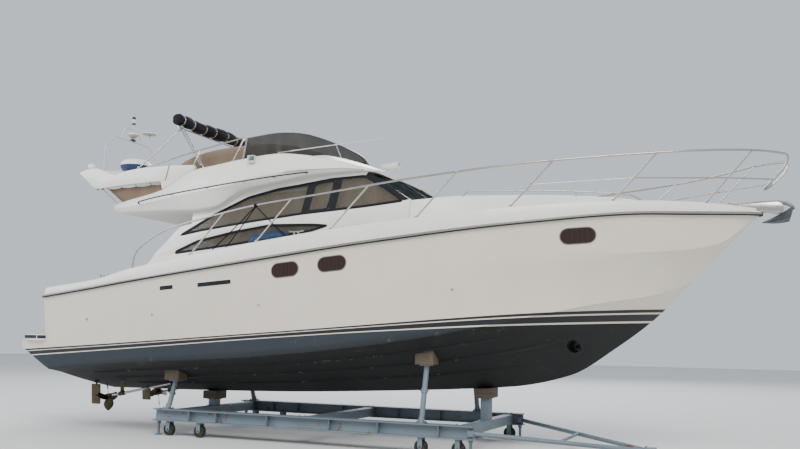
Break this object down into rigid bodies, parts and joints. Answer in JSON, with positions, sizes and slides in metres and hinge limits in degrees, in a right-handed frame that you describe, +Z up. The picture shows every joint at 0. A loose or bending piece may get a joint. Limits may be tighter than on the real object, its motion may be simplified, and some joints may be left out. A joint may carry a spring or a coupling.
{
  "type": "flybridge motor yacht on a wheeled cradle",
  "caption": "Flybridge motor yacht hauled out on a wheeled steel cradle, with turning propellers and rudders, opening gate, door and hatches, and a folding bimini.",
  "frame": {"origin": "on the ground under the middle of the part's box", "axes": "+X towards the bow, +Y to port, +Z up"},
  "size_m": [13.38, 4.18, 6.23],
  "materials": {
    "gelcoat": "glossy off-white gelcoat, with antifouling below the waterline",
    "dark_trim": "dark rubbing strip with a steel insert",
    "smoked_glass": "dark tinted glass",
    "acrylic": "brown smoked acrylic",
    "stainless": "polished stainless tube",
    "brown_canvas": "woven brown canvas",
    "black_canvas": "woven black canvas, rolled and tied",
    "white_paint": "white painted tube",
    "white_plastic": "white plastic",
    "galvanised": "galvanised steel",
    "cradle_paint": "weathered blue-grey paint",
    "timber": "weathered timber",
    "tyre": "solid black rubber",
    "black_plastic": "matt black plastic",
    "bronze": "dull bronze",
    "engine": "grey painted block",
    "fender": "soft blue vinyl",
    "cushion": "beige upholstery"
  },
  "bodies": {
    "yacht": {"hull": "gelcoat", "deck": "gelcoat", "rub_rail": "dark_trim", "swim_platform": "gelcoat", "flybridge": "gelcoat", "deckhouse": "gelcoat", "saloon_door_fixed": "smoked_glass", "window_upper_starboard": "smoked_glass", "window_lower_starboard": "smoked_glass", "window_upper_port": "smoked_glass", "window_lower_port": "smoked_glass", "windshield": "smoked_glass", "fly_windscreen": "acrylic", "fly_cover": "brown_canvas", "radar_arch": "gelcoat", "radar_dome": "white_plastic", "mast_frame": "white_paint", "fly_rail_starboard": "stainless", "fly_rail_port": "stainless", "searchlight": "white_plastic", "cockpit_bench": "cushion", "fly_stairs": "gelcoat", "engine_starboard": "engine", "engine_port": "engine", "saloon_furniture": "cushion", "bow_rail_starboard": "stainless", "bow_rail_port": "stainless", "bow_roller": "stainless", "anchor": "galvanised", "fender": "fender", "shaft_bracket_starboard": "bronze", "shaft_bracket_port": "bronze", "cradle_frame": "cradle_paint", "keel_block_aft": "timber", "keel_block_fore": "timber", "bilge_pad_aft_starboard": "timber", "bilge_pad_aft_port": "timber", "bilge_pad_fore_starboard": "timber", "bilge_pad_fore_port": "timber"},
    "gate": {"transom_gate": "gelcoat"},
    "sliding_door": {"saloon_door_sliding": "smoked_glass"},
    "engine_lid": {"engine_hatch": "gelcoat"},
    "fore_lid": {"foredeck_hatch": "smoked_glass"},
    "bimini": {"bimini_frame": "stainless", "bimini_canvas": "black_canvas"},
    "stays": {"bimini_stays": "stainless"},
    "aerial": {"whip_antenna": "white_plastic"},
    "screw_starboard": {"propeller_starboard": "bronze"},
    "screw_port": {"propeller_port": "bronze"},
    "helm_starboard": {"rudder_starboard": "bronze"},
    "helm_port": {"rudder_port": "bronze"},
    "thruster": {"bow_thruster_propeller": "black_plastic"},
    "wheel_starboard_1": {"cradle_wheel_starboard_1": "tyre"},
    "wheel_starboard_2": {"cradle_wheel_starboard_2": "tyre"},
    "wheel_starboard_3": {"cradle_wheel_starboard_3": "tyre"},
    "wheel_starboard_4": {"cradle_wheel_starboard_4": "tyre"},
    "wheel_port_1": {"cradle_wheel_port_1": "tyre"},
    "wheel_port_2": {"cradle_wheel_port_2": "tyre"},
    "wheel_port_3": {"cradle_wheel_port_3": "tyre"},
    "wheel_port_4": {"cradle_wheel_port_4": "tyre"}
  },
  "joints": [
    {"name": "gate_swing", "type": "hinge", "parent": "yacht", "child": "gate", "pos_m": [-5.936, -1.313, 2.3], "axis": [0, 0, 1], "range_deg": [0, 90]},
    {"name": "door_slide", "type": "slide", "parent": "yacht", "child": "sliding_door", "axis": [0, -1, 0], "range_m": [0, 0.95]},
    {"name": "engine_hatch_lift", "type": "hinge", "parent": "yacht", "child": "engine_lid", "pos_m": [-3.876, 0, 2], "axis": [0, 1, 0], "range_deg": [0, 85]},
    {"name": "fore_hatch_lift", "type": "hinge", "parent": "yacht", "child": "fore_lid", "pos_m": [3.365, 0, 4], "axis": [0, 1, 0], "range_deg": [0, 80]},
    {"name": "bimini_raise", "type": "hinge", "parent": "yacht", "child": "bimini", "pos_m": [-2.75, 0, 4.6384], "axis": [0, 1, 0], "range_deg": [0, 30]},
    {"name": "stay_swing", "type": "hinge", "parent": "bimini", "child": "stays", "pos_m": [-3.705, 0, 5.56], "axis": [0, 1, 0], "range_deg": [-30, 0]},
    {"name": "aerial_raise", "type": "hinge", "parent": "yacht", "child": "aerial", "pos_m": [-1.22, -1.557, 4.7913], "axis": [0, -1, 0], "range_deg": [0, 85]},
    {"name": "screw_starboard_spin", "type": "hinge", "parent": "yacht", "child": "screw_starboard", "pos_m": [-5.31, -0.72, 0.56], "axis": [0.9808, 0, 0.1949], "continuous": true},
    {"name": "screw_port_spin", "type": "hinge", "parent": "yacht", "child": "screw_port", "pos_m": [-5.31, 0.72, 0.56], "axis": [0.9808, 0, 0.1949], "continuous": true},
    {"name": "rudder_starboard_turn", "type": "hinge", "parent": "yacht", "child": "helm_starboard", "pos_m": [-5.62, -0.72, 0.6], "axis": [0, 0, 1], "range_deg": [-35, 35]},
    {"name": "rudder_port_turn", "type": "hinge", "parent": "yacht", "child": "helm_port", "pos_m": [-5.62, 0.72, 0.6], "axis": [0, 0, 1], "range_deg": [-35, 35]},
    {"name": "thruster_spin", "type": "hinge", "parent": "yacht", "child": "thruster", "pos_m": [3.49, 0.082, 1.64], "axis": [0, 1, 0], "continuous": true},
    {"name": "wheel_starboard_1_roll", "type": "hinge", "parent": "yacht", "child": "wheel_starboard_1", "pos_m": [-3.35, -1.35, 0.1041], "axis": [0, 1, 0], "continuous": true},
    {"name": "wheel_starboard_2_roll", "type": "hinge", "parent": "yacht", "child": "wheel_starboard_2", "pos_m": [-2.71, -1.35, 0.1041], "axis": [0, 1, 0], "continuous": true},
    {"name": "wheel_starboard_3_roll", "type": "hinge", "parent": "yacht", "child": "wheel_starboard_3", "pos_m": [1.35, -1.35, 0.1041], "axis": [0, 1, 0], "continuous": true},
    {"name": "wheel_starboard_4_roll", "type": "hinge", "parent": "yacht", "child": "wheel_starboard_4", "pos_m": [1.95, -1.35, 0.1041], "axis": [0, 1, 0], "continuous": true},
    {"name": "wheel_port_1_roll", "type": "hinge", "parent": "yacht", "child": "wheel_port_1", "pos_m": [-3.35, 1.35, 0.1041], "axis": [0, 1, 0], "continuous": true},
    {"name": "wheel_port_2_roll", "type": "hinge", "parent": "yacht", "child": "wheel_port_2", "pos_m": [-2.71, 1.35, 0.1041], "axis": [0, 1, 0], "continuous": true},
    {"name": "wheel_port_3_roll", "type": "hinge", "parent": "yacht", "child": "wheel_port_3", "pos_m": [1.35, 1.35, 0.1041], "axis": [0, 1, 0], "continuous": true},
    {"name": "wheel_port_4_roll", "type": "hinge", "parent": "yacht", "child": "wheel_port_4", "pos_m": [1.95, 1.35, 0.1041], "axis": [0, 1, 0], "continuous": true}
  ],
  "couplings": [
    {"joint": "rudder_starboard_turn", "follows": "rudder_port_turn", "ratio": 1},
    {"joint": "stay_swing", "follows": "bimini_raise", "ratio": -1}
  ]
}
